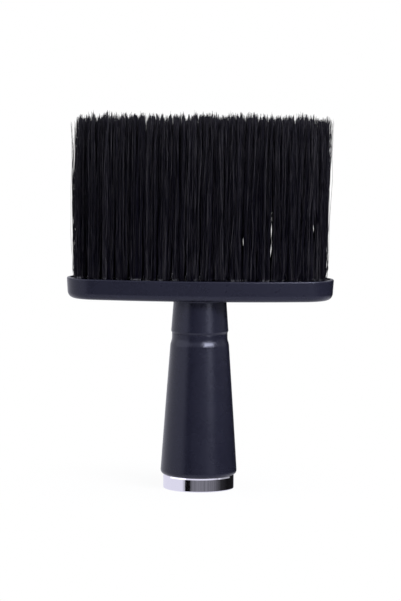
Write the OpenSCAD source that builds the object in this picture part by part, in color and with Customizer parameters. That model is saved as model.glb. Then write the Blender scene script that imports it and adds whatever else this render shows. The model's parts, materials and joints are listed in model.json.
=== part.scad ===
// Barber's neck duster: a flat-topped block of bristle in an oval head, on a tapered handle that stands on
// a plated band. Z is up, X runs along the head and Y across it; the origin is the middle of the base.

/* [Head] */
// Width of the head across its rim
head_w = 120; // [112:1:130]
// Depth of the head across its rim
head_d = 40; // [38:1:40]
// Radius of the head's rounded ends, seen from above
end_r = 15; // [13:0.5:16]
// Height of the head's wall, from its underside to its rim
head_h = 9.4; // [9:0.2:12]
// Thickness of the head's wall at the rim
rim_t = 1.5; // [1.2:0.1:1.7]
// Radius round the head's lower edge
lower_r = 3.2; // [2:0.2:3.6]
// Thickness of the floor that carries the bristle block
floor_t = 1.8; // [1.6:0.1:2.4]

/* [Bristles] */
// Height of the longest bristle tips above the base
brush_h = 170; // [150:0.5:190]
// How much the tufts differ in height
raggedness = 2.2; // [0:0.1:3]
// Distance between two columns of tufts
column_pitch = 6.3; // [6.2:0.05:7]
// Least distance between two tufts of one column
tuft_pitch = 4.8; // [4.7:0.1:6]
// Radius of a tuft hole
hole_r = 2.15; // [1.8:0.05:2.2]
// Depth of a tuft hole
hole_depth = 5.5; // [4.5:0.1:5.8]
// Lean of a tuft along the head for each millimetre from the middle, in degrees
fan = 0.006; // [0:0.001:0.02]
// Lean of a tuft across the head for each millimetre from the middle, in degrees
side_fan = 0.045; // [0:0.005:0.06]

/* [Handle] */
// Height of the handle's top edge above the base
handle_top = 70.2; // [66:0.1:72]
// Height of the head's underside above the base
head_z = 85.6; // [84:0.1:92]
// Radius of the handle at its shoulder
shoulder_r = 13.25; // [12.8:0.05:14]
// Taper of the neck and handle on each side, in degrees
taper = 3.8; // [3:0.1:4.2]
// Thickness of the handle's wall
handle_t = 2.4; // [2:0.1:2.6]
// Diameter of the tie screw
screw_d = 4; // [3.5:0.5:4]

/* [Foot] */
// Height of the plated band
band_h = 6.3; // [5:0.1:8]
// Outer radius of the plated band
band_r = 15.95; // [15.4:0.05:16.4]

/* [Hidden] */
$fn = 96;
fine = 240;                     // segments round the head's long curves
overlap = 1;                    // how far a cutter runs past what it cuts
ease = 0.1;                     // gap where one piece drops into another

// The head's plan is an oval of four arcs, two ends and two sides, which meet without a corner.
end_x = head_w / 2 - end_r;
side_r = (pow(head_w / 2, 2) + pow(head_d / 2, 2) - head_w * end_r) / (head_d - 2 * end_r);
side_y = side_r - head_d / 2;
draft = tan(3.4);               // slope of the head's wall
rim_z = head_z + head_h;
rim_round = 0.6;
floor_z = head_z + floor_t;

// The block stands on the floor, a little below the rim.
block_z = rim_z - 0.6;
block_inset = rim_t + ease;
boss_r = 4.9;
boss_z = 72;

// Tufts stand in columns, which are as deep as the head allows at that place.
tuft_inset = hole_r + 2.65;     // from the rim line to the axis of an outer tuft
half_columns = floor((head_w / 2 - tuft_inset) / column_pitch + 0.5);
columns = 2 * half_columns;
tuft_gap = 0.14;                // between two full tufts
root_r = hole_r - 0.05;
anchor_t = 0.4;
anchor_h = 1.6;
anchor_lift = 0.6;              // wire above the bottom of its hole

// The neck and the handle follow one taper, with a step in between.
lip_z = handle_top + 1.1;       // top of the bevel round the neck's lower edge
lip_flare = 0.1;                // how far the neck stands out from the taper there
shoulder_z = handle_top - 5.8;
throat_r = shoulder_r - 0.75;   // the handle's top edge
handle_z = band_h;
socket_r = 10;
socket_z = handle_top - 16.4;
web_t = 4;
web_z = socket_z - web_t;
key_w = 2;
key_t = 1.2;
mouth_r = 13.5;
mouth_z = handle_z + 9.7;
rib_t = 1.6;
cone_ribs = 6;

// The screw's head and washer bear on the underside of the handle's web.
screw_r = screw_d / 2;
washer_t = 1;
washer_r = 4.5;
screw_head_r = 1.75 * screw_r;
screw_head_h = 2.8;
screw_top = head_z + 0.4;

// The plug's flange holds the band against the handle's foot.
flange_r = band_r - 1.15;
flange_t = 1.6;
plug_t = 2;

function two_digits(n) = str(n < 10 ? "0" : "", n);
function column_name(c) = str("tuft_column_", two_digits(c));

function taper_r(z) = shoulder_r + (shoulder_z - z) * tan(taper);

// Points of a rounded edge from one angle to another.
function arc(x, y, r, from, to, steps = 8) =
    [for (i = [0 : steps]) let (a = from + (to - from) * i / steps) [x + r * cos(a), y + r * sin(a)]];

// Half the depth in which tuft axes may lie, at a distance x from the middle of the head.
function half_depth(x) =
    let (join_x = end_x * (side_r - tuft_inset) / (side_r - end_r))
    abs(x) < join_x
        ? sqrt(pow(side_r - tuft_inset, 2) - x * x) - side_y
        : sqrt(pow(end_r - tuft_inset, 2) - pow(abs(x) - end_x, 2));

function column_x(c) = (c - half_columns - 0.5) * column_pitch;
function tuft_count(c) = floor(2 * half_depth(column_x(c)) / tuft_pitch) + 1;
function tuft_step(c) = tuft_count(c) == 1 ? tuft_pitch : 2 * half_depth(column_x(c)) / (tuft_count(c) - 1);
function tuft_y(c, i) = (i - (tuft_count(c) - 1) / 2) * tuft_step(c);
function chance(c, i, n) = rands(0, 1, 3, 100 * c + i)[n];

// Turns a profile round the head's oval. The profile's x is 0 at the rim line and negative inside it, and
// $reach is how far in it has to go to meet the other three sweeps.
module round_the_head() {
    tall = 4 * brush_h;
    for (turn = [0, 180]) rotate(turn) {
        intersection() {
            translate([end_x, 0, 0]) rotate_extrude($fn = fine) translate([end_r, 0])
                let ($reach = end_r) children();
            translate([0, 0, -tall / 2]) linear_extrude(tall)
                polygon([[end_x, 0], [2 * end_x, side_y], [4 * end_x, side_y], [4 * end_x, -side_y],
                         [2 * end_x, -side_y]]);
        }
        intersection() {
            translate([0, -side_y, 0]) rotate_extrude($fn = fine) translate([side_r, 0])
                let ($reach = head_d) children();
            translate([0, 0, -tall / 2]) linear_extrude(tall)
                polygon([[end_x, 0], [2 * end_x, side_y], [-2 * end_x, side_y], [-end_x, 0]]);
        }
    }
}

// Places its children at one tuft: leaning, with the origin at the mouth of the tuft's hole.
module at_tuft(c, i) {
    x = column_x(c);
    y = tuft_y(c, i);
    translate([x, y, block_z]) rotate([-side_fan * y, 0, 0]) rotate([0, fan * x, 0]) children();
}

module each_tuft() {
    for (c = [1 : columns]) for (i = [0 : tuft_count(c) - 1]) at_tuft(c, i) children();
}

// Section of the tray's wall and floor.
module tray_section() {
    foot_x = -draft * (head_h - lower_r);
    inner_x = -rim_t - draft * (head_h - floor_t);
    inner_round = 1.2;
    polygon(concat(
        [[-$reach, floor_z]],
        arc(inner_x - inner_round, floor_z + inner_round, inner_round, 270, 360),
        [[-rim_t, rim_z]],
        arc(-rim_round, rim_z - rim_round, rim_round, 90, 0),
        arc(foot_x - lower_r, head_z + lower_r, lower_r, 0, -90, 15),
        [[-$reach, head_z]]
    ));
}

// Section of the neck below the tray: the tapered cone, its bevelled lower edge and the spigot.
module neck_section() {
    spigot_r = socket_r - ease / 2;
    root_round = 1;
    root_x = taper_r(head_z - root_round) + root_round;
    polygon(concat(
        [[boss_r + ease, socket_z + ease], [spigot_r - 0.6, socket_z + ease]],
        [[spigot_r, socket_z + ease + 0.6]],
        [[spigot_r, handle_top], [throat_r - 0.1, handle_top], [throat_r, handle_top + 0.1]],
        [[taper_r(lip_z) + lip_flare, lip_z]],
        arc(root_x, head_z - root_round, root_round, 180, 90),
        [[root_x, floor_z - 0.2], [boss_r + ease, floor_z - 0.2]]
    ));
}

// Moulded head: an oval tray with a hollow neck, cored between its wall and the tube round the screw boss.
module head_shell() color("#2b2d36") {
    tube_r = boss_r + ease + 2;
    core_r = socket_r - 2.2;
    difference() {
        union() {
            difference() {
                round_the_head() tray_section();
                cylinder(h = rim_z + overlap, r = boss_r + ease);
            }
            rotate_extrude() neck_section();
        }
        // Four cores lighten the neck and leave four ribs between them.
        difference() {
            translate([0, 0, socket_z + 3]) cylinder(h = floor_z - socket_z, r = core_r);
            cylinder(h = rim_z, r = tube_r);
            for (turn = [45, 135]) rotate(turn) translate([-head_w / 2, -rib_t / 2, 0])
                cube([head_w, rib_t, rim_z]);
        }
        // Keyway in the spigot.
        translate([socket_r - key_t - ease, -key_w / 2 - ease / 2, socket_z - overlap])
            cube([key_t + overlap, key_w + ease, handle_top - socket_z]);
    }
}

// Drilled block that the tufts are set in; its boss takes the tie screw.
module bristle_block() color("#15161a") {
    depth = block_z - floor_z;
    lower_x = -block_inset - draft * depth;
    chamfer = 1.2;
    difference() {
        union() {
            round_the_head() polygon([
                [-$reach, floor_z], [lower_x - chamfer, floor_z], [lower_x, floor_z + chamfer],
                [-block_inset, block_z], [-$reach, block_z]
            ]);
            translate([0, 0, boss_z]) cylinder(h = floor_z - boss_z + overlap, r = boss_r);
        }
        each_tuft() translate([0, 0, -hole_depth]) cylinder(h = hole_depth + overlap, r = hole_r);
        translate([0, 0, boss_z - overlap]) cylinder(h = screw_top - boss_z + overlap, r = screw_r);
    }
}

// Flat wire at the bottom of each tuft hole, with the bristles folded round it.
module tuft_anchors() color("#8c8f96") {
    wire_w = 2 * (hole_r - 0.02);
    each_tuft() translate([-wire_w / 2, -anchor_t / 2, anchor_lift - hole_depth])
        cube([wire_w, anchor_t, anchor_h]);
}

// One tuft: round in its hole, then spreading until it meets its neighbours, with an uneven trimmed top.
module tuft(c, i) {
    top = brush_h - block_z - raggedness * chance(c, i, 0);
    half_x = (column_pitch - tuft_gap) / 2;
    half_y = (tuft_step(c) - tuft_gap) / 2;
    full_r = norm([half_x, half_y]) - 0.1;
    crown = 2.4;
    parting = 1.7;
    seam_turn = 20;             // keeps the revolve's seam off the flat sides and the corners
    difference() {
        intersection() {
            rotate(seam_turn) rotate_extrude() polygon([
                [0, -hole_depth], [root_r, -hole_depth], [root_r, 0.6], [half_x - 0.2, 0.12 * top],
                [full_r, 0.6 * top], [full_r, top - crown], [0.6 * full_r, top], [0, top]
            ]);
            translate([-half_x, -half_y, -hole_depth - overlap])
                cube([2 * half_x, 2 * half_y, hole_depth + brush_h]);
        }
        // The wire passes through the fold of the bristles.
        translate([-head_d / 2, -anchor_t / 2, anchor_lift - hole_depth]) cube([head_d, anchor_t, anchor_h]);
        // Bristles gather in locks, so a parting runs across the top.
        translate([(chance(c, i, 1) - 0.5) * half_x, 0, top + 0.2]) rotate(180 * chance(c, i, 2))
            rotate([0, 45, 0]) cube([parting, head_d, parting], center = true);
    }
}

module tuft_column(c) color("#0d0d10") {
    for (i = [0 : tuft_count(c) - 1]) at_tuft(c, i) tuft(c, i);
}

// Outline of the handle from its top edge to its foot: a straight collar, a curve out to the shoulder, then
// the taper, which swells a little on its way down, and a rounded edge.
function handle_outline() =
    let (
        edge_z = handle_z + 2,
        edge_r = band_r - 0.5,
        swell = 0.2,
        top_round = 0.2,
        collar_z = handle_top - 1.6,
        full_r = taper_r(edge_z) + swell
    )
    concat(
        arc(throat_r - top_round, handle_top - top_round, top_round, 90, 0),
        [for (i = [0 : 16]) let (t = i / 16)
            [throat_r + (shoulder_r - throat_r) * (1 - cos(180 * pow(t, 1.2))) / 2,
             collar_z + (shoulder_z - collar_z) * t]],
        [for (i = [1 : 12]) let (t = i / 12, z = shoulder_z + (edge_z - shoulder_z) * t)
            [taper_r(z) + swell * sin(90 * t), z]],
        [for (i = [1 : 10]) let (a = 9 * i)
            [edge_r + (full_r - edge_r) * cos(a), edge_z + (handle_z - edge_z) * sin(a)]]
    );

// Hollow handle: a socket for the neck above its web, a ribbed cavity below, and a mouth for the plug.
module handle() color("#2b2d36") {
    cavity_top_r = taper_r(web_z) - handle_t;
    cavity_foot_r = taper_r(mouth_z) - handle_t;
    difference() {
        rotate_extrude() polygon(concat([[0, handle_top]], handle_outline(), [[0, handle_z]]));
        translate([0, 0, socket_z]) cylinder(h = handle_top - socket_z + overlap, r = socket_r);
        cylinder(h = handle_top, r = screw_r + 0.2);
        difference() {
            translate([0, 0, mouth_z])
                cylinder(h = web_z - mouth_z, r1 = cavity_foot_r, r2 = cavity_top_r);
            difference() {
                for (i = [0 : cone_ribs - 1]) rotate(360 / cone_ribs * i) translate([0, -rib_t / 2, 0])
                    cube([head_d, rib_t, handle_top]);
                cylinder(h = handle_top, r = cavity_top_r - 2.2);
            }
        }
        translate([0, 0, handle_z - overlap]) cylinder(h = mouth_z - handle_z + overlap, r = mouth_r);
    }
    // Key that stops the head from turning in the handle.
    translate([socket_r - key_t, -key_w / 2, socket_z - overlap / 2])
        cube([key_t + overlap, key_w, handle_top - socket_z - 2]);
}

// Self-tapping screw with a domed head and a cross recess.
module tie_screw() color("#b9bcc4") {
    seat_z = web_z - washer_t;
    recess = 0.9;
    difference() {
        union() {
            translate([0, 0, seat_z]) cylinder(h = screw_top - 2 - seat_z, r = screw_r);
            translate([0, 0, screw_top - 2]) cylinder(h = 1.6, r1 = screw_r, r2 = 0.5);
            translate([0, 0, seat_z - screw_head_h]) rotate_extrude() polygon(concat(
                [[0, 0]], [[screw_head_r - 1.4, 0]], arc(screw_head_r - 1.4, 1.4, 1.4, -60, 0),
                [[screw_head_r, screw_head_h], [0, screw_head_h]]
            ));
        }
        for (turn = [0, 90]) rotate(turn) translate([-screw_r, -recess / 2, seat_z - screw_head_h - overlap])
            cube([2 * screw_r, recess, 1.5 + overlap]);
    }
}

module screw_washer() color("#b9bcc4") {
    translate([0, 0, web_z - washer_t]) difference() {
        cylinder(h = washer_t, r = washer_r);
        translate([0, 0, -overlap]) cylinder(h = washer_t + 2 * overlap, r = screw_r + 0.15);
    }
}

// Plated band, stepped inside for the plug's flange.
module chrome_band() color("#d8d8e2") {
    foot_round = 0.4;
    bevel_h = 0.75;
    bevel = 15;
    edge_round = 0.15;
    edge_x = band_r - bevel_h * tan(bevel) - edge_round;
    rotate_extrude() polygon(concat(
        [[flange_r + ease / 2, 0]], arc(band_r - foot_round, foot_round, foot_round, -90, 0, 4),
        [[band_r, band_h - bevel_h]], arc(edge_x, band_h - edge_round, edge_round, bevel, 90, 4),
        [[mouth_r + ease / 2, band_h], [mouth_r + ease / 2, flange_t], [flange_r + ease / 2, flange_t]]
    ));
}

// Plug pressed into the handle's mouth: a flange with a shallow recess beneath, and a cup with crossed ribs.
module end_plug() color("#1c1d22") {
    recess_r = 11;
    recess = 0.5;
    cup_z = mouth_z - 1;
    difference() {
        union() {
            cylinder(h = flange_t, r = flange_r);
            cylinder(h = cup_z, r = mouth_r);
        }
        translate([0, 0, -overlap]) cylinder(h = recess + overlap, r = recess_r);
        difference() {
            translate([0, 0, recess + plug_t]) cylinder(h = cup_z, r = mouth_r - plug_t);
            for (turn = [0, 90]) rotate(turn) translate([-mouth_r, -rib_t / 2, 0])
                cube([2 * mouth_r, rib_t, cup_z - 2]);
        }
    }
}

head_shell();
bristle_block();
tuft_anchors();
handle();
tie_screw();
screw_washer();
chrome_band();
end_plug();
for (c = [1 : columns]) tuft_column(c);
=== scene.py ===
# %% [markdown]
# # A barber's neck duster
#
# The object is a wide, flat-topped brush that stands on its handle. A moulded head holds a drilled
# block, the block holds eighteen columns of bristle tufts, and a plated band finishes the foot.
# The construction comes ready as a fixed frame: every solid is already at its place and real size, in
# metres, with +Z up. What is left to do here is the look: the bristles, the finishes and the light.
# The frame is loaded first, because every later step takes its positions from it.

# %% Load the frame
import json
import math

import bmesh
import bpy
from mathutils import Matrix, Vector

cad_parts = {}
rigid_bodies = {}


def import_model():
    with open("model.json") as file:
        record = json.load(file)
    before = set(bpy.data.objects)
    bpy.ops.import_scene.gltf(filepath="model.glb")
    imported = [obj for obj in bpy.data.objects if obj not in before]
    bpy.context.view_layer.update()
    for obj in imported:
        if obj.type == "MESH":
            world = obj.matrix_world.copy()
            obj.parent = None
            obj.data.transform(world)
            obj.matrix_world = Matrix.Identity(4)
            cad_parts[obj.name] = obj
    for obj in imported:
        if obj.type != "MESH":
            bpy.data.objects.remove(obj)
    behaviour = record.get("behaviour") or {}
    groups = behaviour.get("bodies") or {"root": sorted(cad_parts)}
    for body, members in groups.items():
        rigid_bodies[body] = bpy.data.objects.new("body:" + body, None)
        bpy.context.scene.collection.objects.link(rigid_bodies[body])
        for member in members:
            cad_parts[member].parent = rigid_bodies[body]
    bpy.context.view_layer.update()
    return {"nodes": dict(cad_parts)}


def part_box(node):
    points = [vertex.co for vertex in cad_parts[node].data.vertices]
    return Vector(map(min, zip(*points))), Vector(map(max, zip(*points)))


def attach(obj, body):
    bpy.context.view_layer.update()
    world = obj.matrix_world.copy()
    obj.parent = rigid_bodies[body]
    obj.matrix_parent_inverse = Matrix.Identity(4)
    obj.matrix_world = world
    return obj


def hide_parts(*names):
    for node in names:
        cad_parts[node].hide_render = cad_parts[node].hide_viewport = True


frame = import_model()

MM = 0.001
columns = sorted(name for name in frame["nodes"] if name.startswith("tuft_column"))
print("nodes:", len(frame["nodes"]), "columns of tufts:", len(columns))

# %% [markdown]
# ## Helpers for node trees
#
# Materials, the world and the bristles are all node trees, and each node needs the same three steps:
# make it, choose its settings, and fill its inputs with numbers or with other nodes' outputs. Done by
# hand that is four lines a node, so one helper does it. The others make the nodes that are used most:
# sums and products of numbers, and ramps of greys.

# %% Node helpers
def feed(tree, socket, value):
    """Fills an input with another node's output, or with a plain value."""
    if isinstance(value, bpy.types.NodeSocket):
        tree.links.new(value, socket)
    else:
        socket.default_value = value


def add(tree, kind, inputs=None, **settings):
    """Adds a node with its settings, and fills the inputs that are named or numbered."""
    node = tree.nodes.new(kind)
    for name, value in settings.items():
        setattr(node, name, value)
    for key, value in (inputs or {}).items():
        feed(tree, node.inputs[key], value)
    return node


def calc(tree, operation, *values, clamp=False):
    """A Math node's result."""
    node = tree.nodes.new("ShaderNodeMath")
    node.operation, node.use_clamp = operation, clamp
    for socket, value in zip(node.inputs, values):
        feed(tree, socket, value)
    return node.outputs[0]


def times(tree, first, second):
    """The product of two numbers."""
    return calc(tree, "MULTIPLY", first, second)


def ramp(tree, value, stops, interpolation="LINEAR"):
    """A colour ramp through (position, grey) stops."""
    node = tree.nodes.new("ShaderNodeValToRGB")
    node.color_ramp.interpolation = interpolation
    elements = node.color_ramp.elements
    while len(elements) < len(stops):
        elements.new(1.0)
    for element, (position, grey) in zip(elements, stops):
        element.position, element.color = position, (grey, grey, grey, 1)
    feed(tree, node.inputs[0], value)
    return node.outputs[0]


# %% [markdown]
# ## Camera
#
# The brush is seen from the front and slightly above, from about eight times its height away, as a
# product is when it is shot with a long lens. A long lens keeps the sides of the head and handle
# nearly parallel. The camera stands a little to the right of the middle, aims at the object's axis and
# turns about its own line of sight by half a degree.

# %% Camera
def aim(item, target):
    """Turns a camera or a lamp towards a point."""
    item.rotation_euler = (Vector(target) - item.location).to_track_quat("-Z", "Y").to_euler()


camera = bpy.data.objects.new("camera", bpy.data.cameras.new("camera"))
bpy.context.scene.collection.objects.link(camera)
camera.location = (0.034, -1.3, 0.206)
camera.data.lens = 174
aim(camera, (0.0002, 0, 0.0848))
camera.rotation_euler.rotate_axis("Z", math.radians(0.5))
bpy.context.scene.camera = camera
print("camera pitch:", round(math.degrees(camera.rotation_euler.x) - 90, 2), "degrees")

# %% [markdown]
# ## Studio
#
# The brush stands on a pale floor in a white room. Black plastic and chrome show what is round them,
# so the room matters more than the lamps. It is bright on the left, behind and overhead, with a narrow
# black card to the left of the camera, grey in front and dark on the right. Cards could be placed as
# planes, but then they would show in other views. Here the world paints them, by the compass bearing
# and the height of each direction, and only glossy rays see them.

# %% World
def tinted(tree, value, color):
    """A grey value times a colour."""
    node = add(tree, "ShaderNodeVectorMath", {0: color, "Scale": value}, operation="SCALE")
    return node.outputs[0]


def studio_walls(tree, turn):
    """Brightness of the walls. A turn of 0 is behind the object, 0.25 left, 0.5 in front, 0.75 right."""
    white_wall = [(0.00, 0.50), (0.02, 0.90), (0.355, 0.90), (0.366, 0.60), (0.378, 0.60)]
    black_card = [(0.381, 0.004), (0.43, 0.004)]
    grey_front = [(0.434, 0.17), (0.50, 0.22), (0.58, 0.21), (0.66, 0.15)]
    dark_side = [(0.72, 0.03), (0.80, 0.008), (0.94, 0.012), (0.975, 0.5)]
    cards = ramp(tree, turn, white_wall + black_card + grey_front + dark_side)

    # The grey front is uneven, as a room with things standing about in it is.
    grey_side = ramp(tree, turn, [(0.42, 0.0), (0.44, 1.0), (0.68, 1.0), (0.80, 0.0)])
    patches_round, contrast = 60.0, 1.3
    clutter = add(tree, "ShaderNodeTexNoise", {"Scale": 1.0, "Detail": 3.0, "Roughness": 0.7},
                  noise_dimensions="1D")
    feed(tree, clutter.inputs["W"], times(tree, turn, patches_round))
    uneven = times(tree, calc(tree, "SUBTRACT", clutter.outputs[0], 0.5), grey_side)
    return times(tree, cards, calc(tree, "MULTIPLY_ADD", uneven, contrast, 1.0))


def studio_world():
    world = bpy.data.worlds.new("studio")
    world.use_nodes = True
    tree = world.node_tree
    tree.nodes.clear()
    direction = add(tree, "ShaderNodeTexCoord").outputs["Generated"]
    x, y, z = add(tree, "ShaderNodeSeparateXYZ", {0: direction}).outputs
    bearing = calc(tree, "ARCTAN2", x, times(tree, y, -1.0))
    walls = studio_walls(tree, calc(tree, "MULTIPLY_ADD", bearing, 0.5 / math.pi, 0.5))

    # White starts where z passes -0.22 on the way down, and 0.3 on the way up.
    floor_share = calc(tree, "MULTIPLY_ADD", z, -5.0, -1.1, clamp=True)
    ceiling_share = calc(tree, "MULTIPLY_ADD", z, 10.0, -3.0, clamp=True)
    white_share = calc(tree, "MAXIMUM", floor_share, ceiling_share)
    white_tone = 0.95
    room_tone = add(tree, "ShaderNodeMix", {0: white_share, 2: walls, 3: white_tone}, data_type="FLOAT")
    room_color = tinted(tree, room_tone.outputs[0], (0.90, 0.90, 1.0))

    # Matt surfaces are lit by an even fill, glossy rays see the room, and the camera sees white.
    fill = add(tree, "ShaderNodeBackground", {"Color": (0.90, 0.92, 1, 1), "Strength": 0.5})
    room = add(tree, "ShaderNodeBackground", {"Color": room_color, "Strength": 1.0})
    backdrop = add(tree, "ShaderNodeBackground", {"Color": (1, 1, 1, 1), "Strength": 1.0})
    path = add(tree, "ShaderNodeLightPath")
    glossy = add(tree, "ShaderNodeMixShader", {0: path.outputs["Is Glossy Ray"], 1: fill.outputs[0],
                                               2: room.outputs[0]})
    seen = calc(tree, "MAXIMUM", path.outputs["Is Camera Ray"], path.outputs["Is Transmission Ray"])
    final = add(tree, "ShaderNodeMixShader", {0: seen, 1: glossy.outputs[0], 2: backdrop.outputs[0]})
    add(tree, "ShaderNodeOutputWorld", {0: final.outputs[0]})
    return world


bpy.context.scene.world = studio_world()
bpy.context.scene.view_settings.view_transform = "Standard"
print("world:", len(bpy.context.scene.world.node_tree.nodes), "nodes")

# %% [markdown]
# ### Lamps
#
# A wide, flat softbox to the right of the camera draws the bright line on the handle's shoulder, and a
# small one below it adds to the sheen on the handle and on the head's wall. Two large ones at the sides
# light the edges softly. The band's bevel is narrow and its facets shade flat, so it would throw the
# two front lamps back as hard white spots. Light linking lets those two leave the band out, and it
# still mirrors the room.

# %% Lamps
lamp_target = Vector((0, 0, 0.07))
cool_white = (0.94, 0.95, 1.0)


def softbox(name, bearing, height, away, wide, tall, power):
    """A lamp aimed at the handle. The bearing is in degrees to the right of the front."""
    lamp = bpy.data.objects.new(name, bpy.data.lights.new(name, "AREA"))
    bpy.context.scene.collection.objects.link(lamp)
    lamp.data.shape, lamp.data.energy = "RECTANGLE", power
    lamp.data.size, lamp.data.size_y = wide, tall
    lamp.data.color = cool_white
    turn, rise = math.radians(bearing), math.radians(height)
    way = Vector((math.sin(turn) * math.cos(rise), -math.cos(turn) * math.cos(rise), math.sin(rise)))
    lamp.location = way * away + lamp_target
    aim(lamp, lamp_target)
    return lamp


key_lamp = softbox("key softbox", bearing=40, height=27, away=1.0, wide=0.7, tall=0.12, power=11.5)
low_lamp = softbox("low softbox", bearing=42, height=12, away=1.0, wide=0.3, tall=0.3, power=1.2)
softbox("left softbox", bearing=-75, height=30, away=1.2, wide=1.4, tall=1.2, power=4)
softbox("right softbox", bearing=100, height=25, away=1.2, wide=1.2, tall=1.2, power=2)

left_out = bpy.data.collections.new("left out by the front lamps")
left_out.objects.link(frame["nodes"]["chrome_band"])
left_out.collection_objects[0].light_linking.link_state = "EXCLUDE"
for lamp in (key_lamp, low_lamp):
    lamp.light_linking.receiver_collection = left_out

# %% [markdown]
# ### Floor
#
# The floor is a large matt plane, so that the brush has something to stand on and to shade. To the
# camera it also glows white: nine tenths at the foot, and fully from a tenth of a metre on. So it runs
# into the white background without a line, and keeps a faint shadow near the foot. It belongs to the
# stage and not to the object, and glossy rays don't see it, because the room has a floor of its own.

# %% Floor
def floor_material():
    material = bpy.data.materials.new("white floor")
    material.use_nodes = True
    tree = material.node_tree
    tree.nodes.clear()
    place = add(tree, "ShaderNodeTexCoord").outputs["Object"]
    distance = add(tree, "ShaderNodeVectorMath", {0: place}, operation="LENGTH").outputs["Value"]
    matt = add(tree, "ShaderNodeBsdfDiffuse", {"Color": (0.9, 0.9, 0.9, 1)})
    white = add(tree, "ShaderNodeEmission", {"Color": (1, 1, 1, 1), "Strength": 1.0})
    glow_at_foot, more_per_metre = 0.9, 1.0
    share = calc(tree, "MULTIPLY_ADD", distance, more_per_metre, glow_at_foot, clamp=True)
    path = add(tree, "ShaderNodeLightPath")
    share = times(tree, share, path.outputs["Is Camera Ray"])
    mixed = add(tree, "ShaderNodeMixShader", {0: share, 1: matt.outputs[0], 2: white.outputs[0]})
    add(tree, "ShaderNodeOutputMaterial", {0: mixed.outputs[0]})
    return material


def make_floor(half_size=6.0):
    mesh = bpy.data.meshes.new("floor")
    corners = [(-half_size, -half_size, 0), (half_size, -half_size, 0), (half_size, half_size, 0),
               (-half_size, half_size, 0)]
    mesh.from_pydata(corners, [], [(0, 1, 2, 3)])
    mesh.materials.append(floor_material())
    floor = bpy.data.objects.new("floor", mesh)
    bpy.context.scene.collection.objects.link(floor)
    floor.visible_glossy = False
    return floor


floor = make_floor()
print("floor:", [round(side, 1) for side in floor.dimensions], "m")

# %% [markdown]
# ## Finishes
#
# The head, handle, block and plug are moulded plastic with a fine, even texture from the tool, so they
# share one effect: a group that makes the texture's height and lets colour and roughness drift a
# little. Each material then places the group with its own grain. The group works on Object
# coordinates, which here are true metres, so the grain keeps its size on every piece.

# %% Shared effects
def new_group(name, inputs, outputs):
    """A shader group with named sockets; each is (name, kind, default)."""
    group = bpy.data.node_groups.new(name, "ShaderNodeTree")
    for socket, kind, default in inputs:
        made = group.interface.new_socket(socket, in_out="INPUT", socket_type="NodeSocket" + kind)
        made.default_value = default
    for socket, kind in outputs:
        group.interface.new_socket(socket, in_out="OUTPUT", socket_type="NodeSocket" + kind)
    start = group.nodes.new("NodeGroupInput")
    end = group.nodes.new("NodeGroupOutput")
    return group, start.outputs, end.inputs


def moulded_grain_group():
    """Fine spark texture of a moulding tool, with slow drifts in tone and sheen."""
    group, given, out = new_group(
        "moulded grain",
        [("Color", "Color", (0.02, 0.02, 0.02, 1)), ("Roughness", "Float", 0.5),
         ("Grain Size", "Float", 0.0003), ("Tone Drift", "Float", 0.1), ("Roughness Drift", "Float", 0.05)],
        [("Color", "Color"), ("Roughness", "Float"), ("Height", "Float")])
    place = add(group, "ShaderNodeTexCoord").outputs["Object"]
    pitch = calc(group, "DIVIDE", 1.0, given["Grain Size"])
    patches_per_metre, grain_weight = 90.0, 0.6
    grain = add(group, "ShaderNodeTexNoise",
                {"Vector": place, "Scale": pitch, "Detail": 2.0, "Roughness": 0.6})
    drift = add(group, "ShaderNodeTexNoise",
                {"Vector": place, "Scale": patches_per_metre, "Detail": 3.0, "Roughness": 0.55})

    # Both noises run from 0 to 1, and are made to swing about 0.
    slow = calc(group, "MULTIPLY_ADD", drift.outputs[0], 2.0, -1.0)
    fine = calc(group, "MULTIPLY_ADD", grain.outputs[0], 2.0, -1.0)
    change = calc(group, "ADD", slow, times(group, fine, grain_weight))
    tone = calc(group, "MULTIPLY_ADD", change, given["Tone Drift"], 1.0)
    feed(group, out["Color"], tinted(group, tone, given["Color"]))
    roughness = calc(group, "MULTIPLY_ADD", slow, given["Roughness Drift"], given["Roughness"])
    feed(group, out["Roughness"], roughness)
    feed(group, out["Height"], grain.outputs[0])
    return group


def handling_marks_group():
    """Faint wipe marks and fine scratches that make polished metal a little less even."""
    group, given, out = new_group(
        "handling marks",
        [("Roughness", "Float", 0.06), ("Marks", "Float", 0.05), ("Mark Size", "Float", 0.004)],
        [("Roughness", "Float"), ("Height", "Float")])
    place = add(group, "ShaderNodeTexCoord").outputs["Object"]
    pitch = calc(group, "DIVIDE", 1.0, given["Mark Size"])
    wipes = add(group, "ShaderNodeTexNoise",
                {"Vector": place, "Scale": pitch, "Detail": 4.0, "Roughness": 0.6})
    mask = ramp(group, wipes.outputs[0], [(0.45, 0.0), (0.7, 1.0)])
    feed(group, out["Roughness"], calc(group, "MULTIPLY_ADD", mask, given["Marks"], given["Roughness"]))
    feed(group, out["Height"], wipes.outputs[0])
    return group


moulded_grain = moulded_grain_group()
handling_marks = handling_marks_group()
for group in (moulded_grain, handling_marks):
    print(group.name + ":", [item.name for item in group.interface.items_tree if item.in_out == "INPUT"])

# %% Plastics
def new_material(name, **plain):
    """A material with a Principled shader whose uniform values are set on its own sockets."""
    material = bpy.data.materials.new(name)
    material.use_nodes = True
    tree = material.node_tree
    tree.nodes.clear()
    shader = add(tree, "ShaderNodeBsdfPrincipled", plain)
    add(tree, "ShaderNodeOutputMaterial", {0: shader.outputs[0]})
    return material, tree, shader


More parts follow.
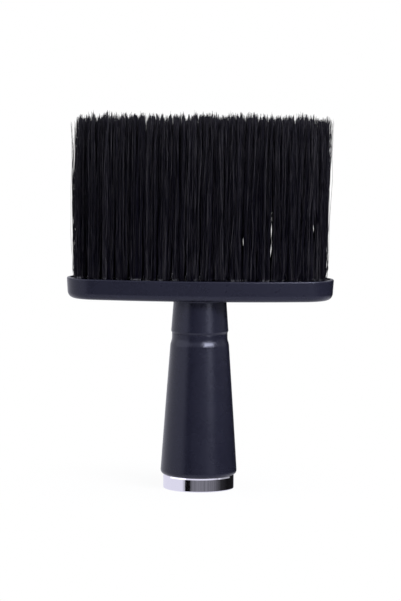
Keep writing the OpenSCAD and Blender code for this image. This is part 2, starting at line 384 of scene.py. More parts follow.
def moulded_plastic(name, color, roughness, grain_size, bump, tone_drift=0.12, roughness_drift=0.06):
    material, tree, shader = new_material(name, **{
        "IOR": 1.5, "Specular IOR Level": 0.4, "Specular Tint": (0.80, 0.82, 1.0, 1)})
    grain = add(tree, "ShaderNodeGroup", node_tree=moulded_grain)
    values = {"Color": color, "Roughness": roughness, "Grain Size": grain_size, "Tone Drift": tone_drift,
              "Roughness Drift": roughness_drift}
    for key, value in values.items():
        grain.inputs[key].default_value = value
    relief = add(tree, "ShaderNodeBump", {"Strength": bump, "Distance": 0.1 * MM,
                                          "Height": grain.outputs["Height"]})
    feed(tree, shader.inputs["Base Color"], grain.outputs["Color"])
    feed(tree, shader.inputs["Roughness"], grain.outputs["Roughness"])
    feed(tree, shader.inputs["Normal"], relief.outputs[0])
    return material


soft_black = moulded_plastic("soft black plastic", (0.0072, 0.0074, 0.0150, 1), 0.27, 0.35 * MM, bump=0.25)
block_black = moulded_plastic("block plastic", (0.006, 0.006, 0.008, 1), 0.5, 0.5 * MM, bump=0.3)
plug_black = moulded_plastic("plug plastic", (0.010, 0.010, 0.012, 1), 0.5, 0.6 * MM, bump=0.4)
print("plastics:", ", ".join(plastic.name for plastic in (soft_black, block_black, plug_black)))

# %% [markdown]
# ### Metals
#
# The band is chrome: almost a mirror, with a hint of violet from the plating. With no wear at all it
# would look drawn, so a second group lets its sheen change along faint wipe marks. The screw, its
# washer and the wires that hold the tufts are plain steel with a duller surface, and use the same group.

# %% Metals
def metal(name, color, roughness, marks, mark_size, bump):
    material, tree, shader = new_material(name, **{"Base Color": color, "Metallic": 1.0})
    wear = add(tree, "ShaderNodeGroup", node_tree=handling_marks)
    for key, value in {"Roughness": roughness, "Marks": marks, "Mark Size": mark_size}.items():
        wear.inputs[key].default_value = value
    relief = add(tree, "ShaderNodeBump", {"Strength": bump, "Distance": 0.05 * MM,
                                          "Height": wear.outputs["Height"]})
    feed(tree, shader.inputs["Roughness"], wear.outputs["Roughness"])
    feed(tree, shader.inputs["Normal"], relief.outputs[0])
    return material


chrome = metal("chrome", (0.86, 0.84, 0.92, 1), 0.07, 0.05, 3 * MM, bump=0.05)
screw_steel = metal("screw steel", (0.55, 0.56, 0.58, 1), 0.28, 0.12, 1.5 * MM, bump=0.3)
anchor_wire = metal("anchor wire", (0.45, 0.45, 0.47, 1), 0.35, 0.1, 1 * MM, bump=0.3)

finishes = {"head_shell": soft_black, "handle": soft_black, "bristle_block": block_black,
            "end_plug": plug_black, "chrome_band": chrome, "tie_screw": screw_steel,
            "screw_washer": screw_steel, "tuft_anchors": anchor_wire}
for name, material in finishes.items():
    mesh = frame["nodes"][name].data
    mesh.materials.clear()
    mesh.materials.append(material)
print("finished pieces:", ", ".join(finishes))

# %% [markdown]
# ## Bristles: where the tufts are
#
# On the real brush a tuft is a bundle of nylon filaments, folded round a flat wire and driven into a
# drilled hole. The frame holds each tuft as one plain solid, and each wire as a small bar. A bar lies
# square to its tuft, so its mean point and its upright edge give the tuft's axis, and the solid
# gives how far the tuft spreads and how tall it stands. Reading them here keeps the bristles in step
# with the frame.

# %% Read the tufts
def islands(name):
    """The separate solids of a node, each as a list of points."""
    copy = bmesh.new()
    copy.from_mesh(frame["nodes"][name].data)
    bmesh.ops.remove_doubles(copy, verts=copy.verts, dist=0.001 * MM)
    found, seen = [], set()
    for start in copy.verts:
        if start in seen:
            continue
        seen.add(start)
        group, queue = [], [start]
        while queue:
            vert = queue.pop()
            group.append(vert.co.copy())
            for edge in vert.link_edges:
                other = edge.other_vert(vert)
                if other not in seen:
                    seen.add(other)
                    queue.append(other)
        found.append(group)
    copy.free()
    return found


def middle(points):
    return sum(points, Vector()) / len(points)


block_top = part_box("bristle_block")[1].z


def axis_of(bar):
    """The mouth of a tuft's hole and the way the tuft leans, from the wire that holds it."""
    bar = sorted(bar, key=lambda point: point.z)
    half = len(bar) // 2
    up = (middle(bar[half:]) - middle(bar[:half])).normalized()
    centre = middle(bar)
    return centre + up * ((block_top - centre.z) / up.z), up


axes = [axis_of(bar) for bar in islands("tuft_anchors")]


def read_column(name):
    """For each tuft of a column: the mouth of its hole, its lean, its half width, half depth and height."""
    tufts = []
    for solid in islands(name):
        low = min(point.z for point in solid)
        root = middle([point for point in solid if point.z < low + 0.3 * MM])
        mouth, up = min(axes, key=lambda axis: (axis[0].xy - root.xy).length)
        beside = [point - mouth - up * (point - mouth).dot(up) for point in solid]
        half = Vector((max(abs(point.x) for point in beside), max(abs(point.y) for point in beside),
                       max((point - mouth).dot(up) for point in solid)))
        tufts.append((mouth, up, half))
    return sorted(tufts, key=lambda tuft: tuft[0].y)


tuft_columns = {name: read_column(name) for name in columns}
print("tufts:", sum(len(tufts) for tufts in tuft_columns.values()), "wires:", len(axes))

# %% [markdown]
# ## Bristles: one tree of Geometry Nodes
#
# A hair system could grow the filaments, but it leaves no mesh behind. Modelling one tuft and copying
# it would repeat the same tips over the whole field. So a Geometry Nodes tree makes each tuft anew. It
# multiplies the tuft's point into filaments, gives each a place across the hole and a place in the
# tuft's cell, puts a thin three-sided rod on it and bends the rod along its path. The tree is long, so
# it is built by one short function for each step. The first helpers make the nodes that the steps share.

# %% Helpers for the tree
def new_tree(name, inputs):
    """A Geometry Nodes tree with a Geometry input and output, and further inputs (name, kind)."""
    tree = bpy.data.node_groups.new(name, "GeometryNodeTree")
    tree.interface.new_socket("Geometry", in_out="OUTPUT", socket_type="NodeSocketGeometry")
    tree.interface.new_socket("Geometry", in_out="INPUT", socket_type="NodeSocketGeometry")
    for socket, kind in inputs:
        tree.interface.new_socket(socket, in_out="INPUT", socket_type="NodeSocket" + kind)
    return tree, tree.nodes.new("NodeGroupInput").outputs, tree.nodes.new("NodeGroupOutput").inputs


def vector_calc(tree, operation, *values):
    """A Vector Math node's result."""
    node = tree.nodes.new("ShaderNodeVectorMath")
    node.operation = operation
    for socket, value in zip([s for s in node.inputs if s.enabled], values):
        feed(tree, socket, value)
    return next(s for s in node.outputs if s.enabled)


def scaled(tree, vector, by):
    """A vector times a number."""
    return vector_calc(tree, "SCALE", vector, by)


def total(tree, first, *others):
    """The sum of several vectors."""
    for other in others:
        first = vector_calc(tree, "ADD", first, other)
    return first


def blend(tree, share, first, second):
    """A vector between two others."""
    node = add(tree, "ShaderNodeMix", {"Factor": share}, data_type="VECTOR")
    feed(tree, node.inputs[4], first)
    feed(tree, node.inputs[5], second)
    return node.outputs[1]


def combine(tree, x, y, z=0.0):
    return add(tree, "ShaderNodeCombineXYZ", {0: x, 1: y, 2: z}).outputs[0]


def parts(tree, vector):
    """The three numbers of a vector."""
    return add(tree, "ShaderNodeSeparateXYZ", {0: vector}).outputs


def smooth_step(tree, value, start, end):
    """Rises from 0 at the start to 1 at the end, without a corner at either."""
    node = add(tree, "ShaderNodeMapRange", {"Value": value, "From Min": start, "From Max": end},
               interpolation_type="SMOOTHSTEP")
    return node.outputs[0]


# %% Helpers for random numbers and stored values
# Room for this many draws in each column's seed, so that no two columns share one.
DRAWS_PER_SEED = 40.0


def draw(tree, given, number, low=0.0, high=1.0):
    """A random number for each element. Each draw has a number of its own, so none repeats another."""
    node = add(tree, "FunctionNodeRandomValue", data_type="FLOAT")
    for socket, value in zip([s for s in node.inputs if s.enabled], (low, high)):
        feed(tree, socket, value)
    seed = calc(tree, "MULTIPLY_ADD", given["Seed"], DRAWS_PER_SEED, float(number))
    feed(tree, node.inputs["Seed"], seed)
    return next(s for s in node.outputs if s.enabled)


def draw_pair(tree, given, number, reach):
    """A random sideways vector, up to the reach each way. It takes two draws."""
    pair = combine(tree, draw(tree, given, number, -1.0, 1.0), draw(tree, given, number + 1, -1.0, 1.0))
    return scaled(tree, pair, reach)


def read(tree, name, kind="FLOAT_VECTOR"):
    """A named attribute's value."""
    node = add(tree, "GeometryNodeInputNamedAttribute", {"Name": name}, data_type=kind)
    return next(s for s in node.outputs if s.enabled and s.name == "Attribute")


def keep(tree, geometry, name, value, kind="FLOAT_VECTOR"):
    """Stores a value on each point under a name, and returns the geometry."""
    node = add(tree, "GeometryNodeStoreNamedAttribute", {"Geometry": geometry, "Name": name},
               data_type=kind)
    feed(tree, next(s for s in node.inputs if s.enabled and s.name == "Value"), value)
    return node.outputs[0]


def position(tree):
    return add(tree, "GeometryNodeInputPosition").outputs[0]


def flat(tree, vector):
    """A vector without its height."""
    return vector_calc(tree, "MULTIPLY", vector, (1, 1, 0))


# %% [markdown]
# ### A place for each filament
#
# A place in a square, from -1 to 1 each way, is pressed into the round hole below and into the tuft's
# cell above. If every filament kept to its own cell, the tufts would stand apart like fence posts, and
# a real brush has no such gaps: its filaments spill over each other's cells, and some cross right over.
# They are held back where a tuft stands at the edge of the field, and along the few partings that the
# real one shows. A parting is closed at the foot and opens for a stretch of its height, where daylight
# comes through.

# %% Step 1: scatter the filaments
def hold_in(tree, sideways):
    """Takes away the part of a sideways vector that would leave the field."""
    outward = read(tree, "outward")
    beyond = calc(tree, "MAXIMUM", vector_calc(tree, "DOT_PRODUCT", sideways, outward), 0.0)
    return vector_calc(tree, "SUBTRACT", sideways, scaled(tree, outward, beyond))


def scatter(tree, given):
    points = keep(tree, given["Geometry"], "mouth", position(tree))
    many = add(tree, "GeometryNodeDuplicateElements", {"Geometry": points, "Amount": given["Filaments"]},
               domain="POINT").outputs[0]

    # Square to disc: a side is drawn in by the square root of 1 less half the other's square.
    across, deep = draw(tree, given, 1, -1.0, 1.0), draw(tree, given, 2, -1.0, 1.0)
    squeeze = [calc(tree, "SQRT", calc(tree, "MULTIPLY_ADD", times(tree, t, t), -0.5, 1.0))
               for t in (deep, across)]
    square = combine(tree, across, deep)
    disc = combine(tree, times(tree, across, squeeze[0]), times(tree, deep, squeeze[1]))
    many = keep(tree, many, "square", square)
    many = keep(tree, many, "root", scaled(tree, disc, given["Root Radius"]))

    # A filament beside a parting steps back from it: the nearer, the more.
    parting = blend(tree, calc(tree, "GREATER_THAN", across, 0.0), read(tree, "parting_left"),
                    read(tree, "parting_right"))
    wide, height, length = parts(tree, parting)
    step_back = times(tree, times(tree, wide, -0.5), calc(tree, "POWER", across, 3.0))
    many = keep(tree, many, "gap", combine(tree, step_back, height, length))

    # It is also held back from wandering, by up to 95 hundredths where the parting is this wide.
    full_guard = 0.8 * MM
    guard = calc(tree, "DIVIDE", wide, full_guard, clamp=True)
    free = calc(tree, "MULTIPLY_ADD", guard, -0.95, 1.0)
    many = keep(tree, many, "free", free, "FLOAT")

    # The others spill over their neighbours' cells. Each filament opens out at its own height, and
    # lower down where a parting runs beside it.
    cell = vector_calc(tree, "MULTIPLY", blend(tree, given["Roundness"], square, disc), read(tree, "half"))
    spill = scaled(tree, hold_in(tree, draw_pair(tree, given, 3, given["Spill"])), free)
    opening = calc(tree, "MULTIPLY_ADD", guard, -0.6, 1.0)
    opening = times(tree, opening, draw(tree, given, 5, 0.3, 1.7))
    many = keep(tree, many, "opening", opening, "FLOAT")
    return keep(tree, many, "spread", total(tree, cell, spill))


# %% [markdown]
# ### Strands
#
# Filaments that start side by side cling into strands under a millimetre wide. Filaments near one
# another share a strand, which is a cell of a cellular pattern in the plane of the field. A strand
# gives all its filaments one lean, one height and one tone, which is what the eye reads as bristle.

# %% Step 2: twist them into strands
def make_strands(tree, given, many):
    foot = flat(tree, total(tree, position(tree), read(tree, "spread")))
    cells = add(tree, "ShaderNodeTexVoronoi", {"Vector": foot}, voronoi_dimensions="2D")
    feed(tree, cells.inputs["Scale"], calc(tree, "DIVIDE", 1.0, given["Strand Size"]))
    to_strand = vector_calc(tree, "SUBTRACT", cells.outputs["Position"], foot)
    many = keep(tree, many, "strand", scaled(tree, to_strand, given["Strand Pull"]))
    luck = add(tree, "ShaderNodeTexWhiteNoise", {"Vector": cells.outputs["Color"]},
               noise_dimensions="3D")
    many = keep(tree, many, "luck", luck.outputs["Color"])

    # A strand leans its own way, and a few lean far enough to cross their neighbours and partings.
    crosses = calc(tree, "LESS_THAN", luck.outputs["Value"], given["Crossing Share"])
    reach = calc(tree, "MULTIPLY_ADD", crosses, given["Crossing Reach"], given["Drift"])
    way = vector_calc(tree, "SUBTRACT", cells.outputs["Color"], (0.5, 0.5, 0.5))
    way = vector_calc(tree, "MULTIPLY", way, combine(tree, reach, reach))
    drift = total(tree, way, draw_pair(tree, given, 8, given["Looseness"]))
    free = calc(tree, "MAXIMUM", read(tree, "free", "FLOAT"), crosses)
    return keep(tree, many, "drift", scaled(tree, hold_in(tree, drift), free))


# %% [markdown]
# ### Locks and tips
#
# Nylon filaments cling together in locks a few millimetres wide, and each lock ends in a point, so the
# cut is ragged. Filaments near one another share a lock, which is a cell of a cellular pattern in the
# plane of the tips. A lock pulls its filaments together, and those far from its middle end lower.

# %% Step 3: gather the strands into locks and give each its height
def gather_locks(tree, given, many):
    height = parts(tree, read(tree, "half"))[2]
    leaning = scaled(tree, read(tree, "up"), height)
    top = total(tree, position(tree), read(tree, "spread"), read(tree, "drift"), leaning)
    lock_shape = (1, 0.45, 0)  # About twice as deep as wide.
    top = vector_calc(tree, "MULTIPLY", top, lock_shape)
    cells = add(tree, "ShaderNodeTexVoronoi", {"Vector": top}, voronoi_dimensions="2D")
    feed(tree, cells.inputs["Scale"], calc(tree, "DIVIDE", 1.0, given["Lock Size"]))
    to_lock = vector_calc(tree, "SUBTRACT", cells.outputs["Position"], top)
    pull = scaled(tree, to_lock, given["Lock Pull"])
    many = keep(tree, many, "lock", hold_in(tree, pull))
    lock_height, lock_tone, _ = parts(tree, cells.outputs["Color"])
    strand_height, strand_tone, _ = parts(tree, read(tree, "luck"))

    # Hollows run across the cut from front to back, and it is rounded over at the edge of the field.
    hollow_shape, hollows_per_metre = (1, 0.06, 0), 450.0
    hills = add(tree, "ShaderNodeTexNoise", {"Vector": vector_calc(tree, "MULTIPLY", top, hollow_shape),
                                             "Scale": hollows_per_metre, "Detail": 1.0}).outputs[0]
    hollow = times(tree, smooth_step(tree, hills, 0.55, 0.72), given["Hollows"])
    facing = vector_calc(tree, "DOT_PRODUCT", read(tree, "square"), read(tree, "outward"))
    edge = calc(tree, "POWER", calc(tree, "MAXIMUM", facing, 0.0), 3.0)
    own = calc(tree, "POWER", draw(tree, given, 10), 2.0)
    drops = [times(tree, lock_height, given["Raggedness"]), hollow,
             times(tree, vector_calc(tree, "LENGTH", to_lock), given["Point Slope"]),
             times(tree, strand_height, given["Raggedness"]),
             times(tree, own, given["Raggedness"]),
             times(tree, edge, given["Edge Drop"])]
    for drop in drops:
        height = calc(tree, "SUBTRACT", height, drop)
    many = keep(tree, many, "tall", calc(tree, "ADD", height, given["Tip Rise"]), "FLOAT")

    # The tone is mostly the strand's. High powers leave most dark and a few light.
    shares = [(strand_tone, 3.0, 0.65), (lock_tone, 2.0, 0.15), (draw(tree, given, 11), 5.0, 0.2)]
    tone = 0.0
    for value, power, weight in shares:
        tone = calc(tree, "MULTIPLY_ADD", calc(tree, "POWER", value, power), weight, tone)
    return keep(tree, many, "tone", tone, "FLOAT")


# %% [markdown]
# ### Strays and rods
#
# A few strands at the edge of the field bow outwards and come back, which leaves the thin wisps that
# every used brush has at its ends. Single filaments stray too. Then a rod stands on each point. Three
# sides are enough, because a filament is thinner than the eye can resolve, and the whole field has
# tens of thousands of them.

# %% Step 4: pick the strays and set up the rods
def pick_strays(tree, given, many):
    outward = read(tree, "outward")
    facing = vector_calc(tree, "DOT_PRODUCT", read(tree, "square"), outward)
    edge = smooth_step(tree, facing, 0.35, 0.9)
    strand_far, _, strand_luck = parts(tree, read(tree, "luck"))
    alone = calc(tree, "LESS_THAN", draw(tree, given, 12), given["Stray Share"])
    together = calc(tree, "LESS_THAN", strand_luck, given["Wisp Share"])
    together = times(tree, together, read(tree, "loose", "FLOAT"))
    picked = times(tree, edge, calc(tree, "MAXIMUM", alone, together))
    far = calc(tree, "MULTIPLY_ADD", strand_far, 0.6, draw(tree, given, 13, 0.2, 0.4))
    reach = times(tree, picked, times(tree, far, given["Stray Reach"]))
    many = keep(tree, many, "stray", scaled(tree, outward, reach))
    many = keep(tree, many, "bow", times(tree, strand_far, given["Bow Start"]), "FLOAT")

    # Worn and bent, they also end lower.
    worn = calc(tree, "MULTIPLY_ADD", strand_far, 0.6, draw(tree, given, 18, 0.1, 0.4))
    shorter = times(tree, given["Wisp Drop"], times(tree, picked, worn))
    many = keep(tree, many, "tall", calc(tree, "SUBTRACT", read(tree, "tall", "FLOAT"), shorter), "FLOAT")

    # Some stand out over the rim along the head's two long sides.
    splayed = calc(tree, "LESS_THAN", draw(tree, given, 15), given["Splay Share"])
    out = times(tree, times(tree, edge, splayed), given["Splay Reach"])
    out = times(tree, out, draw(tree, given, 16, 0.2))
    depthways = vector_calc(tree, "MULTIPLY", outward, (0, 1, 0))
    return keep(tree, many, "splay", scaled(tree, depthways, out))


def stand_rods(tree, given, many):
    rod = add(tree, "GeometryNodeMeshCone", {"Vertices": 3, "Side Segments": given["Segments"],
                                             "Radius Bottom": given["Filament Radius"], "Depth": 1.0})
    tip_share = 0.4
    feed(tree, rod.inputs["Radius Top"], times(tree, given["Filament Radius"], tip_share))
    spin = combine(tree, 0.0, 0.0, draw(tree, given, 17, 0.0, 2 * math.pi))
    rods = add(tree, "GeometryNodeInstanceOnPoints", {"Points": many, "Instance": rod.outputs[0],
                                                      "Rotation": spin}).outputs[0]
    return add(tree, "GeometryNodeRealizeInstances", {0: rods}).outputs[0]


# %% [markdown]
# ### Bending the rods
#
# Each rod is one unit tall. Its own height becomes a height along the tuft's lean, with short steps
# near the hole, where the path turns, and long ones above. Everything that moves a filament sideways
# is then added up: the step back from a parting, a bend that each strand has to itself, the spread
# within the first few millimetres, the pull of its strand, the drift, the pull of its lock, the set
# that use gives to the whole field, two slow waves that bend neighbours alike, and the strays' bow.

# %% Step 5: the bends of a filament
def swing_of_noise(tree, where):
    """A slow noise that swings about 0 in each direction."""
    noise = add(tree, "ShaderNodeTexNoise", {"Vector": where, "Scale": 1.0, "Detail": 1.0})
    return vector_calc(tree, "SUBTRACT", noise.outputs["Color"], (0.5, 0.5, 0.5))


def wave(tree, place, rise, across, upward):
    """A bend that neighbours share, with so many swells in a metre across the field and upwards."""
    where = total(tree, scaled(tree, place, across),
                  combine(tree, 0.0, 0.0, times(tree, rise, upward)))
    return flat(tree, swing_of_noise(tree, where))


def weave(tree, rise, upward=90.0, apart=40.0):
    """A bend of each strand's own, smaller along the head than across it."""
    where = total(tree, scaled(tree, read(tree, "luck"), apart),
                  combine(tree, 0.0, 0.0, times(tree, rise, upward)))
    return vector_calc(tree, "MULTIPLY", swing_of_noise(tree, where), (0.6, 1.0, 0.0))


def step_from_parting(tree, rise):
    """The step back from a parting, which is open in the middle of its length and closed at its ends."""
    step_back, centre, length = parts(tree, read(tree, "gap"))
    off = calc(tree, "DIVIDE", calc(tree, "SUBTRACT", rise, centre), times(tree, length, 0.5))
    open_at = smooth_step(tree, calc(tree, "SUBTRACT", 1.0, calc(tree, "ABSOLUTE", off)), 0.0, 0.6)
    return combine(tree, times(tree, step_back, open_at), 0.0, 0.0)


def bow_at(tree, share):
    """How far out a stray is: farthest at five eighths of its way, and partly back at the tip."""
    start = read(tree, "bow", "FLOAT")
    past = calc(tree, "DIVIDE", calc(tree, "SUBTRACT", share, start),
                calc(tree, "SUBTRACT", 1.0, start), clamp=True)
    return calc(tree, "SINE", times(tree, 0.8 * math.pi, past))


# %% Step 5: bend the rods
def bend_rods(tree, given, rods):
    mouth, tall, depth = read(tree, "mouth"), read(tree, "tall", "FLOAT"), given["Root Depth"]
    local = vector_calc(tree, "SUBTRACT", position(tree), mouth)
    along = parts(tree, local)[2]

    # The rise along the lean: a quarter in even steps, and three quarters in growing ones.
    squared = times(tree, along, along)
    eased = calc(tree, "MULTIPLY_ADD", along, 0.25, times(tree, squared, 0.75))
    rise = calc(tree, "SUBTRACT", times(tree, eased, calc(tree, "ADD", tall, depth)), depth)
    share = calc(tree, "DIVIDE", rise, tall, clamp=True)

    # The way out from the round hole to the tuft's cell.
    spread_at = times(tree, given["Spread Height"], read(tree, "opening", "FLOAT"))
    closed = calc(tree, "SUBTRACT", 1.0, calc(tree, "DIVIDE", rise, spread_at, clamp=True))
    opened = calc(tree, "SUBTRACT", 1.0, times(tree, closed, closed))
    spread = total(tree, read(tree, "spread"), read(tree, "splay"))

    # How much of a bend is reached at this height.
    clinging = smooth_step(tree, share, 0.02, 0.25)
    gathered = calc(tree, "MULTIPLY_ADD", smooth_step(tree, share, 0.02, 0.3), 0.3,
                    times(tree, smooth_step(tree, share, 0.5, 1.0), 0.7))
    weave_at = times(tree, smooth_step(tree, rise, 0.0, 15 * MM), given["Weave"])
    swing_at = times(tree, smooth_step(tree, rise, 0.0, 50 * MM), given["Swing"])

    place = flat(tree, total(tree, mouth, read(tree, "spread")))
    moves = [
        scaled(tree, read(tree, "up"), rise),
        step_from_parting(tree, rise),
        scaled(tree, weave(tree, rise), weave_at),
        blend(tree, opened, read(tree, "root"), spread),
        scaled(tree, read(tree, "strand"), clinging),
        scaled(tree, read(tree, "drift"), share),
        scaled(tree, read(tree, "lock"), gathered),
        scaled(tree, (1, 0, 0), times(tree, share, given["Set"])),
        scaled(tree, wave(tree, place, rise, across=420.0, upward=45.0),
               times(tree, share, given["Wave"])),
        scaled(tree, wave(tree, place, rise, across=95.0, upward=22.0), swing_at),
        scaled(tree, read(tree, "stray"), bow_at(tree, share)),
        flat(tree, local),
    ]
    bent = add(tree, "GeometryNodeSetPosition", {"Geometry": rods, "Position": total(tree, mouth, *moves)})
    return add(tree, "GeometryNodeSetShadeSmooth", {"Geometry": bent.outputs[0]}).outputs[0]


# %% The whole tree
def bristle_tree():
    numbers = ["Filament Radius", "Root Radius", "Root Depth", "Spread Height", "Roundness", "Spill",
               "Strand Size", "Strand Pull", "Looseness", "Crossing Share", "Crossing Reach", "Drift",
               "Lock Size", "Lock Pull", "Point Slope", "Raggedness", "Hollows", "Edge Drop", "Tip Rise",
               "Set", "Weave", "Wave", "Swing", "Stray Share", "Wisp Share", "Wisp Drop", "Stray Reach",
               "Bow Start", "Splay Share", "Splay Reach"]
    inputs = [("Filaments", "Int"), ("Segments", "Int"), ("Seed", "Int"), ("Material", "Material")]
    tree, given, out = new_tree("tufts of bristle", inputs + [(name, "Float") for name in numbers])
    many = gather_locks(tree, given, make_strands(tree, given, scatter(tree, given)))
    rods = stand_rods(tree, given, pick_strays(tree, given, many))
    solid = add(tree, "GeometryNodeRealizeInstances", {0: bend_rods(tree, given, rods)}).outputs[0]
    painted = add(tree, "GeometryNodeSetMaterial", {"Geometry": solid, "Material": given["Material"]})
    feed(tree, out["Geometry"], painted.outputs[0])
    return tree


bristles = bristle_tree()
print("bristle tree:", len(bristles.nodes), "nodes")

# %% [markdown]
# ### The nylon
#
# Black nylon is glossy along its length. Seen from a distance that gloss breaks up into streaks,
# because no two filaments lie quite alike. The tree has stored a tone on each filament, so one strand is
# a little lighter or darker than the next, and a stretched noise mottles it along its length. The tips
# are painted paler, a painted highlight where the cut ends catch the light, and small bends at the foot,
# just above the rim, get painted glints.

# %% Bristle finish
def mix_colors(tree, share, first, second):
    """A colour between two others."""
    node = add(tree, "ShaderNodeMix", {"Factor": share}, data_type="RGBA")
    feed(tree, node.inputs[6], first)
    feed(tree, node.inputs[7], second)
    return node.outputs[2]


def nylon_finish():
    deep, pale, bright = (0.0006, 0.0002, 0.0042, 1), (0.056, 0.053, 0.060, 1), (0.27, 0.27, 0.30, 1)
    material, tree, shader = new_material(
        "black nylon bristle", **{"IOR": 1.53, "Specular IOR Level": 0.10})
    place = add(tree, "ShaderNodeTexCoord").outputs["Object"]
    height = parts(tree, place)[2]

    # The strand's tone, mottled by streaks about a millimetre wide and a centimetre long.
    stretched = add(tree, "ShaderNodeMapping", {"Vector": place, "Scale": (900, 900, 110)})
    streak = add(tree, "ShaderNodeTexNoise", {"Vector": stretched.outputs[0], "Scale": 1.0, "Detail": 2.0})
    mottle = calc(tree, "MULTIPLY_ADD", streak.outputs[0], 4.0, -1.4, clamp=True)
    tone = add(tree, "ShaderNodeAttribute", attribute_name="tone").outputs["Fac"]
    tone = times(tree, tone, mottle)

    # Painted highlight: towards the tips, where the cut ends catch the light, the tone grows by a third,
    # and no filament stays quite black.
    tips = smooth_step(tree, height, 0.12, 0.17)
    tone = calc(tree, "MULTIPLY_ADD", tone, calc(tree, "MULTIPLY_ADD", tips, 0.35, 1.0),
                times(tree, tips, 0.04))

    # Painted glints: just above the rim, in patches a few millimetres wide, a pale colour stands in for
    # bends at the foot catching the light.
    all_below, none_above = 0.0946, 0.0961
    foot = calc(tree, "SUBTRACT", 1.0, smooth_step(tree, height, all_below, none_above))
    patches_per_metre = 230.0
    patches = add(tree, "ShaderNodeTexNoise", {"Vector": place, "Scale": patches_per_metre, "Detail": 2.0})
    painted_glint = calc(tree, "MULTIPLY_ADD", patches.outputs[0], 9.0, -4.6, clamp=True)
    color = mix_colors(tree, tone, deep, pale)
    color = mix_colors(tree, times(tree, foot, painted_glint), color, bright)
    feed(tree, shader.inputs["Base Color"], color)
    feed(tree, shader.inputs["Roughness"], calc(tree, "MULTIPLY_ADD", streak.outputs[0], 0.25, 0.35))
    return material


nylon = nylon_finish()
print("bristle finish:", nylon.name)

# %% [markdown]
# ## Bristles: one piece for each column
#
# Each column of tufts becomes one piece, because the frame has one solid node for each column. The
# tree needs only points, so a column's mesh starts as one vertex for each tuft. Stored on it are the
# tuft's lean, its size, the way out of the field, the parting on its left and right side, and how
# readily whole strands come loose there. The evaluated result is kept as a plain mesh.

# %% Sizes of the bristles
# Lengths are in metres. Shares, pulls and slopes are plain numbers.
bristle_sizes = {
    "Filaments": 300, "Segments": 9, "Filament Radius": 0.12 * MM, "Root Radius": 2.05 * MM,
    "Root Depth": 1.0 * MM, "Spread Height": 5 * MM, "Roundness": 0.2, "Spill": 1.0 * MM,
    "Strand Size": 0.7 * MM, "Strand Pull": 0.5, "Looseness": 0.4 * MM, "Crossing Share": 0.03,
    "Crossing Reach": 9 * MM, "Drift": 6 * MM, "Lock Size": 1.9 * MM, "Lock Pull": 0.5,
    "Point Slope": 2.2, "Raggedness": 2.0 * MM, "Hollows": 5 * MM, "Edge Drop": 4 * MM,
    "Tip Rise": 1.1 * MM, "Set": 0.6 * MM, "Weave": 3.0 * MM, "Wave": 2.0 * MM, "Swing": 2.0 * MM,
    "Stray Share": 0.02, "Wisp Share": 0.9, "Wisp Drop": 9 * MM, "Stray Reach": 2.0 * MM,
    "Bow Start": 0.25, "Splay Share": 0.2, "Splay Reach": 1.6 * MM, "Material": nylon,
}
print("sizes of the bristles:", len(bristle_sizes))

# %% Partings and loose ends
# Each parting follows a column, counted from the left, and has a width, a middle height and a length.
# Those on the left are long grooves that daylight doesn't reach.
no_parting = (0.0, 0.0, 1.0)
groove = (0.7 * MM, 14 * MM, 90 * MM)
partings = {number: groove for number in range(1, 10)}
partings.update({
    10: (1.0 * MM, 4.5 * MM, 3.5 * MM), 12: (0.9 * MM, 15 * MM, 13 * MM), 13: (1.1 * MM, 9 * MM, 6 * MM),
    14: (1.1 * MM, 20 * MM, 30 * MM), 17: (1.1 * MM, 22.5 * MM, 13 * MM)})

# How readily whole strands stand out at the edge of the field: most at its left end.
usual_looseness = 0.5
looseness = {columns[0]: 1.0, columns[-1]: 0.25}
print("partings:", len(partings))

# %% Points of a column
def outward_of(name, index, count):
    """Which way a tuft at the edge of the field faces out; nothing for a tuft inside it."""
    x = -1 if name == columns[0] else 1 if name == columns[-1] else 0
    y = -1 if index == 0 else 1 if index == count - 1 else 0
    return Vector((x, y, 0)).normalized() if x or y else Vector()


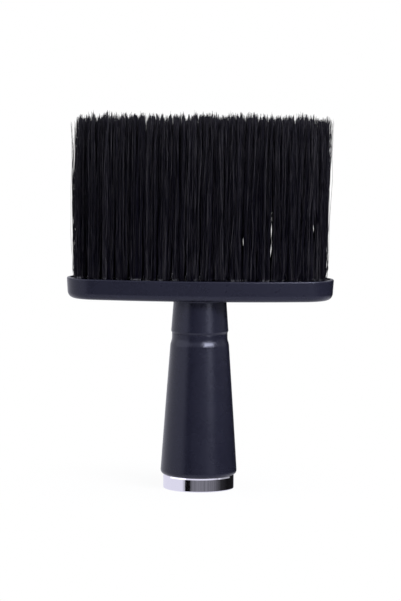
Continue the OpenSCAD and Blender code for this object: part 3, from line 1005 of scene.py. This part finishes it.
def column_points(name):
    tufts = tuft_columns[name]
    number = columns.index(name) + 1
    mesh = bpy.data.meshes.new(name + "_points")
    mesh.from_pydata([mouth for mouth, _, _ in tufts], [], [])
    stored = {
        "up": [up for _, up, _ in tufts],
        "half": [half for _, _, half in tufts],
        "outward": [outward_of(name, i, len(tufts)) for i in range(len(tufts))],
        "parting_left": [partings.get(number - 1, no_parting)] * len(tufts),
        "parting_right": [partings.get(number, no_parting)] * len(tufts),
    }
    for key, values in stored.items():
        layer = mesh.attributes.new(key, "FLOAT_VECTOR", "POINT")
        layer.data.foreach_set("vector", [float(part) for vector in values for part in vector])
    loose = mesh.attributes.new("loose", "FLOAT", "POINT")
    loose.data.foreach_set("value", [looseness.get(name, usual_looseness)] * len(tufts))
    return mesh


# %% Grow the bristles
sockets = {item.name: item.identifier for item in bristles.interface.items_tree if item.in_out == "INPUT"}


def grow(name, seed):
    """Runs the tree on a column's points and keeps the result as a plain mesh."""
    source = bpy.data.objects.new(name + "_points", column_points(name))
    bpy.context.scene.collection.objects.link(source)
    modifier = source.modifiers.new("bristles", "NODES")
    modifier.node_group = bristles
    for key, value in dict(bristle_sizes, Seed=seed).items():
        modifier[sockets[key]] = value
    source.update_tag()
    evaluated = source.evaluated_get(bpy.context.evaluated_depsgraph_get())
    mesh = bpy.data.meshes.new_from_object(evaluated)
    bpy.data.objects.remove(source)

    # Of all the values that the tree stored, only the tone is needed from here on.
    spent = [layer.name for layer in mesh.attributes if layer.data_type == "FLOAT_VECTOR"]
    spent.remove("position")
    for layer in spent + ["tall", "bow", "free", "opening", "loose"]:
        mesh.attributes.remove(mesh.attributes[layer])
    return mesh


for seed, name in enumerate(columns):
    piece = bpy.data.objects.new(name.replace("tuft_column", "bristles"), grow(name, seed))
    bpy.context.scene.collection.objects.link(piece)
    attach(piece, "root")
    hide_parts(name)
made = [item for item in bpy.data.objects if item.name.startswith("bristles")]
triangles = sum(len(face.vertices) - 2 for piece in made for face in piece.data.polygons)
print("bristle pieces:", len(made), "triangles:", triangles)

# %% [markdown]
# ## Last update
#
# The view layer is updated once more, after all the pieces are made.

# %% Finish
bpy.context.view_layer.update()
